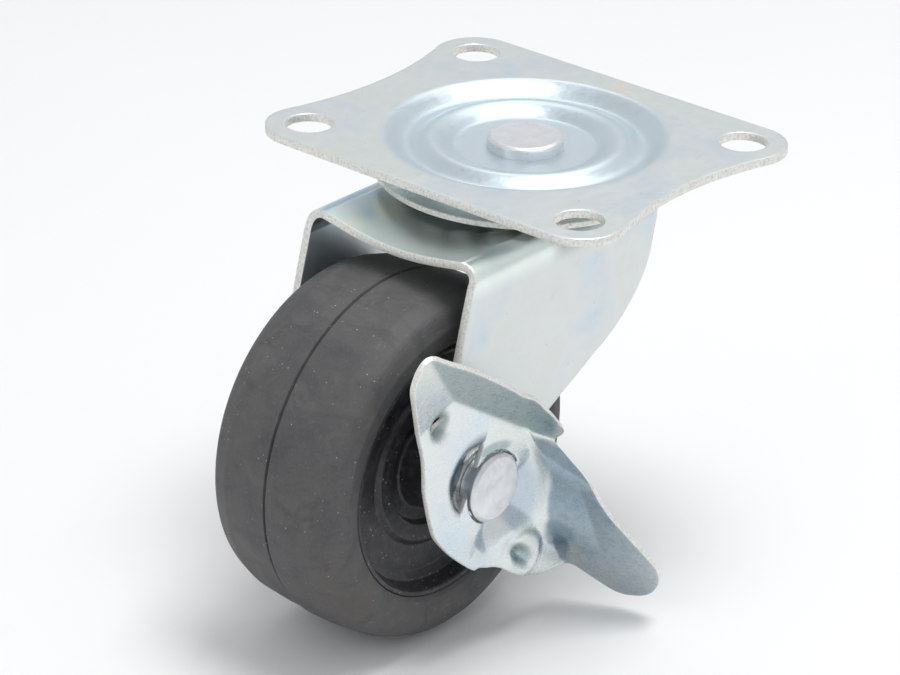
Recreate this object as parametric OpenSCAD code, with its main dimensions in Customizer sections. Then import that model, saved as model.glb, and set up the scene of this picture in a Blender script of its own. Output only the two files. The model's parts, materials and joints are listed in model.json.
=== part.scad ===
// Light swivel castor with a fixing plate and a side brake lever.
// Origin: centre of the plate's top face. +Z up, wheel trails toward -X,
// brake lever on the -Y side. Millimetres.

/* [Fixing plate] */
// Hole spacing along X
hole_dx = 35; // [33:0.5:37]
// Hole spacing along Y
hole_dy = 47; // [45:0.5:49]
// Fixing hole diameter
hole_d = 6.5; // [5.5:0.1:7]
// Radius of the rounded lug round each hole
lobe_r = 6; // [5.5:0.1:6.5]
// Half width of the plate at the waisted sides
waist_y = 26.7; // [26:0.1:28]
// Plate sheet thickness
plate_t = 1.2; // [1:0.1:1.4]

/* [Swivel bearing] */
// Pitch radius of the upper ball ring
ball_ring_r = 12.9; // [12.7:0.1:13.1]
// Upper ball diameter
ball_d = 4.76; // [4.6:0.02:4.76]
// Number of upper balls
ball_n = 16; // [12:1:16]
// Pitch radius of the lower ball ring
low_ring_r = 8.8; // [8.6:0.1:9]
// Lower ball diameter
low_ball_d = 3.5; // [3.3:0.1:3.5]
// Number of lower balls
low_ball_n = 14; // [10:1:14]
// Outer radius of the dust cap under the plate
cap_r = 20.5; // [19.5:0.1:20.6]

/* [Fork] */
// Fork sheet thickness
fork_t = 1.2; // [1:0.1:1.2]
// Depth of the fork crown below the plate's top face
crown_z = 6.3; // [6.3:0.1:6.4]
// How far the crown is dished at its middle
crown_sag = 1.5; // [1.2:0.3:1.5]
// Radius of the round eye at the foot of each leg
eye_r = 8; // [7:0.5:8.5]

/* [Wheel] */
// Wheel diameter
wheel_d = 50; // [48:0.5:50]
// Wheel width across the tyre shoulders
wheel_w = 22.6; // [22:0.1:23]
// Horizontal offset from the swivel axis to the axle
trail = 27; // [27:0.5:27.5]
// Overall height from the plate's top face to the floor
height = 62; // [61.5:0.5:63]
// Radius of the tyre's inner edge where the hub dish begins
lip_r = 18.1; // [17.5:0.1:18.5]
// Depth of the dish in the wheel face
dish_depth = 3; // [2.5:0.1:3.5]

/* [Brake lever] */
// Brake lever sheet thickness
lever_t = 0.8; // [0.7:0.1:0.9]
// Tilt of the upper flange away from the pan
flange_tilt = 45; // [40:1:50]
// Tilt of the pedal wing away from the pan
wing_tilt = 73; // [72:1:74]
// Tilt of the release tab away from the pan
tab_tilt = 16; // [14:1:18]

/* [Hidden] */
$fn = 96;
pin_r = 4;
pin_head_r = 5.25;
pin_top = 0.27;
recess_z = 1.95;
recess_r = 9.7;
groove_r = 16;
groove_z = 1.75;
crest_z = 0.5;
rim_r = 19.4;
crest_w = 1.5;
seat_z = groove_z + plate_t;
ball_z = crest_z + plate_t + 0.03 + ball_d / 2;
cap_in = groove_r - 0.3;
boss_r = 15.4;
boss_under = crown_z + fork_t;
low_ball_z = boss_under + 0.02 + low_ball_d / 2;
low_race_z = low_ball_z + low_ball_d / 2 + 0.02;
low_race_t = 1.2;
low_race_r = 11.6;
crown_hole_r = 6.5;
fork_w = 29.6;
fork_y = fork_w / 2;
bend_r = 2.5;
flat_y = fork_y - bend_r;
sag_r = (flat_y * flat_y + crown_sag * crown_sag) / (2 * crown_sag);
rear_r = 18.3;
axle_x = -trail;
axle_z = wheel_d / 2 - height;
axle_r = 3;
head_r = 4.8;
head_t = 1.1;
head_out = 18.8;
neck_r = 4.2;
tail_t = 1.8;
bore_r = axle_r + 0.05;
wheel_r = wheel_d / 2;
half_w = wheel_w / 2;
hub_r = 6.2;
hub_y = fork_y - fork_t - 0.5;
lip_y = half_w - 0.8;
pan_out = 18;
pan_floor = 15.8;
floor_r = 6;
dish_r = 9;
pad_r = 5.1;
pits = [[-10.9, 12.9], [5.8, -12.5]];
lug_x = hole_dx / 2;
lug_y = hole_dy / 2;
waist_r = (pow(lug_x, 2) + pow(lug_y - waist_y, 2) - pow(lobe_r, 2)) / (2 * (lobe_r + lug_y - waist_y));
steel = [0.82, 0.85, 0.86];
dark = [0.12, 0.12, 0.13];
rubber = [0.27, 0.27, 0.28];

// half of a smooth step from 0 to 1
function ease(u) = (1 - cos(180 * u)) / 2;
// points of a curve easing from (r0, z0) to (r1, z1)
function blend(r0, z0, r1, z1, n) =
    [for (i = [0 : n]) [r0 + (r1 - r0) * i / n, z0 + (z1 - z0) * ease(i / n)]];
// top line of the pressed rings, from the middle out
function press_line() = concat(
    [[0, -recess_z]],
    blend(recess_r, -recess_z, ball_ring_r - crest_w / 2, -crest_z, 6),
    blend(ball_ring_r + crest_w / 2, -crest_z, groove_r - 0.4, -groove_z, 5),
    blend(groove_r + 0.4, -groove_z, rim_r, 0, 6));
// side outline of a fork leg, X and Z
function leg_line() = [
    [-trail - 0.3, 0], [-trail - 0.3, -crown_z - 0.6], [-trail - 7.5, axle_z + 5],
    [-trail - 7.5, axle_z], [-trail + 5, axle_z - 5], [-20.4, -40.2], [-18.5, -37.6],
    [-15, -34.6], [-10.4, -31.8], [-6.5, -29.8], [-2.6, -27.7], [0.2, -26.3],
    [2.6, -24.8], [4.6, -23.2], [6.4, -21.4], [7.8, -19.6], [8.9, -17.7], [9.7, -15.8],
    [10.3, -13.8], [11.2, -12.4], [13, -11.4], [rear_r + 1, -10.6], [rear_r + 1, 0]];
// outline of the lever pan, X and Z from the axle
function pan_line() = [
    [-8.5, 15.7], [-14.6, 13.1], [-14.9, 12.7], [-14.1, 10], [-13.6, 7.3], [-13.6, 4.3],
    [-13.1, 2.4], [-12.2, -0.8], [-11.3, -3.4], [-8.9, -6.4], [-6.2, -9], [-3.5, -11.2],
    [-2.5, -11.3], [0.9, -12.5], [2.5, -13.4], [4.9, -15.1], [7.4, -16.4], [10.7, -17.6],
    [13.2, -17.8], [15.6, -18.1], [16.7, -18.5], [6.6, 5.5], [6.3, 6.1]];
// outline of the upper flange, along and out from its fold
function flange_line() = [
    [-0.2, -0.5], [17.7, -0.3], [18.2, 1.2], [14.4, 5], [10.2, 5.6], [6, 5.8], [1.3, 6.1],
    [-3.5, 6.3], [-6.8, 6], [-10.6, 5.8], [-12.4, 5.4], [-12.4, 4.7]];
// outline of the pedal wing, along and out from its fold
function wing_line() = [
    [-0.7, -0.5], [26.1, -0.3], [26.1, 0.7], [28.1, 2.8], [30.4, 5.9], [31, 8.6], [30.6, 10.8],
    [29.2, 12.4], [27.5, 13], [25.2, 13], [22.6, 12.1], [18.7, 10.3], [14.8, 8.4],
    [10.2, 6.7], [5.6, 4.9], [2.5, 3.8], [1.8, 3.5], [-0.5, 5.1], [-3.8, 4.4], [-5.3, 3.7]];
// outline of the release tab, along and out from its fold
function tab_line() = [
    [-0.3, -0.3], [6.8, -0.3], [2.9, 12.9], [2.1, 13.7], [0.7, 13.3], [-0.4, 12.1],
    [-1.1, 10.4], [-0.9, 5.5]];
// plan of the dish between the lanced cuts, left and right
function sunk_left() = [[-3.5, 3.7], [-1.9, 7.3], [-2.4, 12], [-12, 12], [-12, -6],
    [-7.2, -3], [-5.2, 0.5]];
function sunk_right() = [[3.8, 3.2], [9, 7.6], [14, 0], [14, -14], [-3.6, -14], [-1.7, -4.9]];

/* [Output] */

// plate seen from above, as a slab of thickness h
module plate_slab(h) {
    translate([-lug_x - lobe_r, -lug_y, -h]) cube([2 * (lug_x + lobe_r), 2 * lug_y, h]);
    for (sx = [-1, 1], sy = [-1, 1])
        translate([sx * lug_x, sy * lug_y, -h]) cylinder(r = lobe_r, h = h);
    wide = lug_x - lobe_r * lug_x / (waist_r + lobe_r);
    for (s = [-1, 1]) {
        difference() {
            translate([-wide, s > 0 ? 0 : -lug_y - lobe_r, -h])
                cube([2 * wide, lug_y + lobe_r, h]);
            translate([0, s * (waist_y + waist_r), -h - 1])
                cylinder(r = waist_r, h = h + 2, $fn = 240);
        }
    }
}

// pressed steel plate with its ring-shaped race and four holes
module top_plate() {
    top = press_line();
    low = [for (i = [len(top) - 1 : -1 : 0]) [top[i][0], top[i][1] - plate_t]];
    color(steel) difference() {
        union() {
            difference() {
                plate_slab(plate_t);
                translate([0, 0, -plate_t - 1]) cylinder(r = rim_r, h = plate_t + 2);
            }
            rotate_extrude()
                polygon(concat(top, [[rim_r + 0.5, 0], [rim_r + 0.5, -plate_t]], low));
        }
        for (sx = [-1, 1], sy = [-1, 1])
            translate([sx * lug_x, sy * lug_y, -plate_t - 1])
                cylinder(d = hole_d, h = plate_t + 2);
        translate([0, 0, -10]) cylinder(r = pin_r, h = 12);
    }
}

// riveted centre pin: head above the plate recess, closed head below the race
module kingpin() {
    foot = low_race_z + low_race_t;
    color(steel) rotate_extrude() polygon([
        [0, -pin_top], [pin_head_r - 0.35, -pin_top], [pin_head_r, -pin_top - 0.35],
        [pin_head_r, -recess_z], [pin_r, -recess_z], [pin_r, -foot],
        [5.8, -foot], [5.8, -foot - 0.7], [4.6, -foot - 1.6], [0, -foot - 1.8]]);
}

// pressed ring under the plate that covers the upper balls
module dust_cap() {
    t = 0.9;
    color(steel) rotate_extrude() polygon([
        [cap_in, -seat_z], [16.9, -seat_z], [18.4, -seat_z - 0.5], [cap_r, -seat_z - 1.5],
        [cap_r, -seat_z - 1.5 - t], [18.2, -seat_z - 0.5 - t], [16.7, -seat_z - t],
        [cap_in, -seat_z - t]]);
}

// cup under the crown that carries the lower balls
module lower_race() {
    z0 = low_race_z;
    color(steel) difference() {
        rotate_extrude() polygon([
            [pin_r, -z0], [low_race_r - 1.2, -z0], [low_race_r - 0.9, -z0 + 1.6],
            [low_race_r, -z0 + 1.6], [low_race_r, -z0 - 0.4], [low_race_r - 0.9, -z0 - low_race_t],
            [pin_r, -z0 - low_race_t]]);
        translate([0, 0, -low_ball_z]) rotate_extrude()
            translate([low_ring_r, 0]) circle(r = low_ball_d / 2 + 0.05, $fn = 48);
    }
}

// ring of loose balls
module ball_ring(n, ring_r, d, z) {
    for (i = [0 : n - 1])
        rotate([0, 0, 360 * i / n]) translate([ring_r, 0, -z]) sphere(d = d, $fn = 32);
}

// balls between plate and crown
module upper_balls() {
    color(steel) ball_ring(ball_n, ball_ring_r, ball_d, ball_z);
}

// balls between crown and lower race
module lower_balls() {
    color(steel) ball_ring(low_ball_n, low_ring_r, low_ball_d, low_ball_z);
}

// crown sheet between the two bends, dished along the middle
module crown_sheet() {
    x1 = rear_r + 1;
    intersection() {
        translate([-trail - 1, -flat_y, -crown_z - crown_sag - fork_t - 1])
            cube([trail + 1 + x1, 2 * flat_y, crown_sag + fork_t + 1]);
        difference() {
            translate([-trail - 1, 0, -crown_z - crown_sag + sag_r]) rotate([0, 90, 0])
                cylinder(r = sag_r + fork_t, h = trail + 1 + x1, $fn = 360);
            translate([-trail - 2, 0, -crown_z - crown_sag + sag_r]) rotate([0, 90, 0])
                cylinder(r = sag_r, h = trail + 3 + x1, $fn = 360);
        }
    }
}

// one flat leg with its bend up to the crown, on side s
module leg_side(s) {
    len_x = trail + 12 + rear_r;
    y0 = s > 0 ? fork_y - fork_t : -fork_y;
    translate([-trail - 10, y0, axle_z - 12])
        cube([len_x, fork_t, -axle_z + 12 - crown_z - bend_r]);
    intersection() {
        translate([-trail - 10, s > 0 ? flat_y : -fork_y - 1, -crown_z - bend_r])
            cube([len_x, bend_r + 1, bend_r + 1]);
        translate([-trail - 10, s * flat_y, -crown_z - bend_r]) rotate([0, 90, 0])
            difference() {
                cylinder(r = bend_r, h = len_x);
                translate([0, 0, -1]) cylinder(r = bend_r - fork_t, h = len_x + 2);
            }
    }
}

// rounded rear wall of the fork, joined to both legs
module rear_wall() {
    intersection() {
        rotate_extrude() polygon([
            [0, -crown_z], [rear_r - 2, -crown_z], [rear_r - 0.7, -crown_z - 0.6],
            [rear_r, -crown_z - 2], [rear_r, -30], [rear_r - fork_t, -30],
            [rear_r - fork_t, -crown_z - 2.3], [rear_r - fork_t - 0.6, -boss_under],
            [0, -boss_under]]);
        translate([7, -fork_y, -31]) cube([rear_r, fork_w, 31]);
        fork_envelope();
    }
}

// outer limit of the folded sheet, with its two rounded top edges
module fork_envelope() {
    len_x = trail + 12 + rear_r;
    translate([-trail - 10, -flat_y, -60]) cube([len_x, 2 * flat_y, 60 - crown_z]);
    translate([-trail - 10, -fork_y, -60]) cube([len_x, fork_w, 60 - crown_z - bend_r]);
    for (s = [-1, 1])
        translate([-trail - 10, s * flat_y, -crown_z - bend_r]) rotate([0, 90, 0])
            cylinder(r = bend_r, h = len_x);
}

// stamped fork: dished crown, two legs and a short rear wall
module fork() {
    color(steel) difference() {
        union() {
            intersection() {
                union() {
                    crown_sheet();
                    leg_side(-1);
                    leg_side(1);
                }
                union() {
                    translate([0, 0, -60]) cylinder(r = rear_r, h = 60);
                    translate([-60, -20, -60]) cube([60, 40, 60]);
                }
                leg_cut();
            }
            intersection() {
                rear_wall();
                leg_cut();
            }
            rotate_extrude() polygon([
                [0, -crown_z], [boss_r - 0.6, -crown_z], [boss_r, -crown_z - 0.5],
                [boss_r + 0.4, -crown_z - crown_sag - 0.3], [boss_r - 0.8, -crown_z - crown_sag - 0.3],
                [boss_r - 1.2, -boss_under], [0, -boss_under]]);
        }
        translate([0, 0, -boss_under - 5]) cylinder(r = crown_hole_r, h = 8);
        translate([0, 0, -boss_under - 3]) cylinder(r = boss_r - 1.3, h = 3);
        translate([0, 0, -ball_z]) rotate_extrude()
            translate([ball_ring_r, 0]) circle(r = ball_d / 2 + 0.06, $fn = 48);
        translate([axle_x, 25, axle_z]) rotate([90, 0, 0]) cylinder(r = axle_r, h = 50);
    }
}

// block with the side outline of the legs, used to trim the fork
module leg_cut() {
    translate([0, 20, 0]) rotate([90, 0, 0]) linear_extrude(height = 40) polygon(leg_line());
    translate([axle_x, 20, axle_z]) rotate([90, 0, 0]) cylinder(r = eye_r, h = 40);
}

// axle rivet: formed head over the lever, closed head on the far leg
module axle_rivet() {
    color(steel) translate([axle_x, 0, axle_z]) rotate([90, 0, 0]) rotate_extrude() polygon([
        [0, -fork_y - tail_t], [3.4, -fork_y - tail_t], [4.4, -fork_y - 0.9], [4.4, -fork_y],
        [axle_r, -fork_y], [axle_r, pan_floor + 0.05], [neck_r, pan_floor + 0.05],
        [neck_r, head_out - head_t], [head_r - 0.1, head_out - head_t],
        [head_r, head_out - head_t + 0.1], [head_r, head_out - 0.35],
        [head_r - 0.35, head_out], [0, head_out]]);
}

// half section of the wheel core, radius and distance from the middle plane
function core_half() = let(w = dish_depth) [
    [bore_r, hub_y], [hub_r - 0.4, hub_y], [hub_r, hub_y - 0.4], [hub_r, lip_y - w - 0.6],
    [8.4, lip_y - w - 0.6], [8.8, lip_y - w + 0.6], [11, lip_y - w + 0.6],
    [11.8, lip_y - w], [15.6, lip_y - w], [16.9, lip_y - w + 0.7], [17.4, lip_y],
    [lip_r, lip_y], [lip_r, lip_y - 1.6]];

// moulded core: hub, stepped dish and tyre seat
module wheel_core() {
    half = core_half();
    back = [for (i = [len(half) - 1 : -1 : 0]) [half[i][0], -half[i][1]]];
    seat = [[17.6, lip_y - 2.6], [17.6, -lip_y + 2.6]];
    color(dark) translate([axle_x, 0, axle_z]) rotate([90, 0, 0]) rotate_extrude()
        polygon(concat(half, seat, back));
}

// rounded corner of the tyre, n steps
function shoulder(n) = [for (i = [0 : n])
    [wheel_r - 3.9 + 3.2 * sin(90 * i / n), half_w - 3.2 + 3.2 * cos(90 * i / n)]];

// solid tyre, one side very slightly smaller than the other at the mould line
module tyre() {
    out = concat([[lip_r, lip_y - 1.6], [lip_r, lip_y], [lip_r + 0.5, lip_y + 0.2]], shoulder(8));
    near = concat(out, [[wheel_r - 0.25, half_w - 6], [wheel_r, 0.35]]);
    far = [for (i = [len(out) - 1 : -1 : 0]) [out[i][0] - (i > 2 ? 0.3 : 0), -out[i][1]]];
    color(rubber) translate([axle_x, 0, axle_z]) rotate([90, 0, 0]) rotate_extrude()
        polygon(concat(near, [[wheel_r - 0.4, 0]], [[wheel_r - 0.2, -0.35], [wheel_r - 0.5, -half_w + 6]],
            far, [[17.6, -lip_y + 2.6], [17.6, lip_y - 2.6]]));
}

// flat leaf folded off the pan: fold start x, z, fold direction and tilt
module leaf(x, z, dir, tilt, line) {
    translate([x, -pan_out, z]) rotate([0, -dir, 0]) rotate([90 + tilt, 0, 0])
        translate([0, 0, -lever_t]) linear_extrude(height = lever_t) polygon(line);
}

// shallow pressed bump on the lever's inner side
module bump(x, z) {
    translate([x, -pan_out + lever_t - 0.05, z]) rotate([-90, 0, 0])
        cylinder(r1 = 2.4, r2 = 1.3, h = 0.7);
}

// prism over the sunk parts of the dish
module sunk_prism() {
    rotate([90, 0, 0]) linear_extrude(height = 30) polygon(sunk_left());
    rotate([90, 0, 0]) linear_extrude(height = 30) polygon(sunk_right());
}

// dished sheet: floor round the axle and a cone up to the pan
module dish_sheet() {
    in_y = pan_out - lever_t;
    rotate([90, 0, 0]) rotate_extrude() polygon([
        [bore_r, pan_floor - lever_t], [floor_r + 0.1, pan_floor - lever_t],
        [dish_r - 0.1, in_y], [dish_r + 0.2, in_y], [dish_r + 0.2, pan_out],
        [dish_r - 0.3, pan_out], [floor_r - 0.2, pan_floor], [bore_r, pan_floor]]);
}

// stamped brake lever: pan with a sunk middle, release tab, flange and pedal
module brake_lever() {
    color(steel) translate([axle_x, 0, axle_z]) difference() {
        union() {
            difference() {
                leaf(0, 0, 0, 0, pan_line());
                rotate([90, 0, 0]) cylinder(r = pad_r, h = 30);
                intersection() {
                    rotate([90, 0, 0]) cylinder(r = dish_r, h = 30);
                    sunk_prism();
                }
            }
            intersection() {
                dish_sheet();
                union() {
                    sunk_prism();
                    rotate([90, 0, 0]) cylinder(r = floor_r, h = 30);
                }
            }
            leaf(-8.5, 15.7, -32.9, flange_tilt, flange_line());
            leaf(6.6, 5.5, -67.3, wing_tilt, wing_line());
            leaf(-14.6, 13.1, 23.1, tab_tilt, tab_line());
            for (p = pits) bump(p[0], p[1]);
        }
        for (p = pits)
            translate([p[0], -pan_out - 0.1, p[1]]) rotate([-90, 0, 0])
                cylinder(r1 = 1.8, r2 = 0.8, h = 1);
        translate([pits[0][0], -pan_out, pits[0][1]]) rotate([0, -24, 0])
            cube([2.2, 4, 0.7], center = true);
    }
}

top_plate();
kingpin();
dust_cap();
lower_race();
upper_balls();
lower_balls();
fork();
axle_rivet();
wheel_core();
tyre();
brake_lever();
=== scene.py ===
"""Light swivel castor with a fixing plate and a side brake lever.

All lengths in this script are in millimetres until a mesh is made. The frame is
the CAD frame: origin at the centre of the plate's top face, +Z up, wheel toward
-X, brake lever on the -Y side.
"""
import json
import math

import bmesh
import bpy
import numpy as np
from mathutils import Matrix, Vector, noise
from mathutils.geometry import delaunay_2d_cdt


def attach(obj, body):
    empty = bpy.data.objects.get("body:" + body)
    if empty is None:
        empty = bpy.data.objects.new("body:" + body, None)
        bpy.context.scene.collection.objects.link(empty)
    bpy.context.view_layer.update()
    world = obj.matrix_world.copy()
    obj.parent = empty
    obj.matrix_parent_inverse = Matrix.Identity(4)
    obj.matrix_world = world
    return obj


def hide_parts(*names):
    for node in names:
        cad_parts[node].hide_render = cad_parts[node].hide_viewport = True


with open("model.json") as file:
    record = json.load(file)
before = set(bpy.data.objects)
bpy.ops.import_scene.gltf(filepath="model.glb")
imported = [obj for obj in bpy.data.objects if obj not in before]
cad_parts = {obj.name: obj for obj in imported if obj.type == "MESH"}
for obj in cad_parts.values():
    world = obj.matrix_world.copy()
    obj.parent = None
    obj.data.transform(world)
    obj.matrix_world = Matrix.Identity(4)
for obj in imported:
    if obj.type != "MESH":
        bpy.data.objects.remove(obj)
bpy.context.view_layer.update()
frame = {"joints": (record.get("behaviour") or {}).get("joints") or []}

MM = 0.001
JOINT = {j["name"]: j for j in frame["joints"]}
AXLE = np.array(JOINT["wheel_spin"]["pos_m"], float) / MM

# fork sizes that both its shape and its painted bend shade use
CROWN_Z, CROWN_SAG, FORK_T = 6.3, 1.5, 1.2
FORK_Y, BEND_R = 14.8, 2.5
FLAT_Y = FORK_Y - BEND_R

# ---- plane tools


def arc(cx, cy, r, a0, a1, n):
    """n + 1 points of an arc, angles in degrees."""
    a = np.radians(np.linspace(a0, a1, n + 1))
    return np.stack([cx + r * np.cos(a), cy + r * np.sin(a)], 1)


def circle(cx, cy, r, n):
    """Closed loop of n points, first one not repeated."""
    return arc(cx, cy, r, 0, 360, n)[:-1]


def resample(line, step, closed=False):
    """Points about `step` apart along a line of any dimension."""
    line = np.asarray(line, float)
    if closed:
        line = np.vstack([line, line[:1]])
    d = np.linalg.norm(np.diff(line, axis=0), axis=1)
    t = np.concatenate([[0], np.cumsum(d)])
    n = max(2, int(round(t[-1] / step)))
    at = np.linspace(0, t[-1], n + 1)
    out = np.stack([np.interp(at, t, line[:, k]) for k in range(line.shape[1])], 1)
    return out[:-1] if closed else out


def spline(line, per):
    """Catmull-Rom curve through the points of an open line."""
    p = np.asarray(line, float)
    p = np.vstack([2 * p[0] - p[1], p, 2 * p[-1] - p[-2]])
    u = np.linspace(0, 1, per, endpoint=False)[:, None]
    out = []
    for a, b, c, d in zip(p, p[1:], p[2:], p[3:]):
        out.append(0.5 * (2 * b + (c - a) * u + (2 * a - 5 * b + 4 * c - d) * u ** 2
                          + (3 * b - a - 3 * c + d) * u ** 3))
    return np.vstack(out + [p[-2:-1]])


def inside(points, loop):
    """Mask of the points within a closed loop."""
    x, y = points[:, :1], points[:, 1:2]
    a, b = loop, np.roll(loop, -1, 0)
    dy = b[:, 1] - a[:, 1]
    dy = np.where(np.abs(dy) < 1e-12, 1e-12, dy)
    cross = (a[:, 1] > y) != (b[:, 1] > y)
    at = a[:, 0] + (y - a[:, 1]) * (b[:, 0] - a[:, 0]) / dy
    return (cross & (x < at)).sum(1) % 2 == 1


def clearance(points, loop):
    """Distance from each point to the nearest segment of a closed loop."""
    a, b = loop, np.roll(loop, -1, 0)
    d = b - a
    q = points[:, None, :] - a[None]
    t = np.clip((q * d).sum(2) / np.maximum((d * d).sum(1), 1e-12), 0, 1)
    return np.linalg.norm(q - t[:, :, None] * d, axis=2).min(1)


def region(outer, holes, extra, gap):
    """Triangles of a flat region. Returns its points and faces."""
    extra = np.asarray(extra, float)
    keep = inside(extra, outer) & (clearance(extra, outer) > gap)
    for h in holes:
        keep &= ~inside(extra, h) & (clearance(extra, h) > gap)
    extra = extra[keep]
    loops = [outer] + list(holes)
    edges, start = [], 0
    for loop in loops:
        m = len(loop)
        edges += [(start + i, start + (i + 1) % m) for i in range(m)]
        start += m
    points = np.vstack(loops + [extra])
    got = delaunay_2d_cdt([Vector(p) for p in points], edges, [], 0, 1e-6)
    points = np.array([tuple(v) for v in got[0]])
    faces = np.array([f for f in got[2] if len(f) == 3])
    mid = points[faces].mean(1)
    keep = inside(mid, outer)
    for h in holes:
        keep &= ~inside(mid, h)
    return points, faces[keep]


def lattice(x0, x1, dx, y0, y1, dy):
    """Grid of points with every second row shifted by half a step."""
    xs, ys = np.arange(x0, x1, dx), np.arange(y0, y1, dy)
    gx, gy = np.meshgrid(xs, ys)
    gx = gx + (np.arange(len(ys)) % 2)[:, None] * dx / 2
    return np.stack([gx.ravel(), gy.ravel()], 1)


def polar(radii, n):
    """Rings of n points each."""
    return np.vstack([circle(0, 0, r, n) for r in radii])


def step(x, a, b):
    """Smooth step from 0 at a to 1 at b."""
    t = np.clip((np.asarray(x, float) - a) / (b - a), 0, 1)
    return t * t * (3 - 2 * t)


def smax(a, b, k):
    """Larger of two heights with the corner rounded over k."""
    return (a + b + np.sqrt((a - b) ** 2 + k * k)) / 2


def cos_sin(degrees):
    a = math.radians(degrees)
    return math.cos(a), math.sin(a)


# ---- mesh tools

SHARP = math.radians(48)


def add_object(name, data):
    """New object, linked into the scene."""
    obj = bpy.data.objects.new(name, data)
    bpy.context.scene.collection.objects.link(obj)
    return obj


def make_piece(name, verts, faces, marks, mats, body, node):
    """Smooth-shaded mesh piece from points in mm."""
    mesh = bpy.data.meshes.new(name)
    verts = np.asarray(verts, float) * MM
    mesh.from_pydata(verts.tolist(), [], [tuple(int(i) for i in f) for f in faces])
    for m in mats:
        mesh.materials.append(m)
    mesh.polygons.foreach_set("material_index", [int(m) for m in marks])
    bm = bmesh.new()
    bm.from_mesh(mesh)
    bmesh.ops.recalc_face_normals(bm, faces=bm.faces)
    for f in bm.faces:
        f.smooth = True
    bm.to_mesh(mesh)
    bm.free()
    obj = add_object(name, mesh)
    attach(obj, body)
    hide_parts(node)
    return obj


def sheet(top, faces, down):
    """Closed sheet under the top points, with a rim along its open edges."""
    n = len(top)
    verts = np.vstack([top, top + down])
    seen = {(a, b) for f in faces for a, b in zip(f, np.roll(f, -1))}
    rim = [(b, a, a + n, b + n) for a, b in seen if (b, a) not in seen]
    rim.sort()
    under = [(f[2] + n, f[1] + n, f[0] + n) for f in faces]
    every = [tuple(f) for f in faces] + under + rim
    marks = [0] * (2 * len(faces)) + [1] * len(rim)
    return verts, every, marks


def soften_edges(obj, width):
    """Rounded sheared edges by a bevel that is limited by angle."""
    mod = obj.modifiers.new("edge", "BEVEL")
    mod.width = width * MM
    mod.segments = 2
    mod.limit_method = "ANGLE"
    mod.angle_limit = SHARP
    mod.use_clamp_overlap = False
    return obj


def fillet_path(corners, closed, longest):
    """Line through (r, h, fillet) corners with its corners rounded."""
    c = [np.array(q[:2], float) for q in corners]
    r = [q[2] if len(q) > 2 else 0.0 for q in corners]
    n, out = len(c), []
    for i in range(n):
        if r[i] <= 0 or (not closed and i in (0, n - 1)):
            out.append(c[i])
            continue
        a, b = c[i - 1] - c[i], c[(i + 1) % n] - c[i]
        la, lb = np.linalg.norm(a), np.linalg.norm(b)
        a, b = a / la, b / lb
        half = math.acos(max(-1, min(1, float(a @ b)))) / 2
        cut = min(r[i] / math.tan(half), 0.48 * la, 0.48 * lb)
        rad = cut * math.tan(half)
        mid = c[i] + (a + b) / np.linalg.norm(a + b) * rad / math.sin(half)
        p, q = c[i] + a * cut - mid, c[i] + b * cut - mid
        turn = math.atan2(p[0] * q[1] - p[1] * q[0], p @ q)
        k = max(2, int(math.ceil(abs(turn) / math.radians(18))))
        for t in np.linspace(0, turn, k + 1):
            s, co = math.sin(t), math.cos(t)
            out.append(mid + np.array([p[0] * co - p[1] * s, p[0] * s + p[1] * co]))
    line = out + out[:1] if closed else out
    dense = []
    for p, q in zip(line, line[1:]):
        d = np.linalg.norm(q - p)
        if d < 1e-6:
            continue
        ts = [0.0]
        if d > 0.5:
            m = max(1, int(math.ceil((d - 0.3) / longest)))
            ts += list(np.linspace(0.15 / d, 1 - 0.15 / d, m + 1))
        dense += [p + (q - p) * t for t in ts]
    if not closed:
        dense.append(line[-1])
    return np.array(dense)


def about_z(r, h, a):
    """Point of a part turned about the swivel axis."""
    return r * math.cos(a), r * math.sin(a), h


def about_axle(r, h, a):
    """Point of a part turned about the axle, h toward the lever side."""
    return AXLE[0] + r * math.cos(a), -h, AXLE[2] + r * math.sin(a)


def lathe(path, closed, steps, place):
    """Turned solid from its half section."""
    verts, rows = [], []
    for r, h in path:
        if r < 1e-6:
            rows.append([len(verts)] * steps)
            verts.append(place(0.0, h, 0.0))
            continue
        rows.append(list(range(len(verts), len(verts) + steps)))
        verts += [place(r, h, 2 * math.pi * i / steps) for i in range(steps)]
    pairs = list(zip(rows, rows[1:]))
    if closed:
        pairs.append((rows[-1], rows[0]))
    faces, rings = [], []
    for k, (p, q) in enumerate(pairs):
        for i in range(steps):
            j = (i + 1) % steps
            f = [p[i], p[j], q[j], q[i]]
            faces.append(tuple(dict.fromkeys(f)))
            rings.append(k)
    return verts, faces, rings


# ---- materials


def fill_ramp(node, stops):
    """Sets a colour ramp from (position, colour) stops."""
    ends = node.color_ramp.elements
    while len(ends) < len(stops):
        ends.new(0.5)
    for e, (at, colour) in zip(ends, stops):
        e.position = at
        e.color = (*colour, 1)


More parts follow.
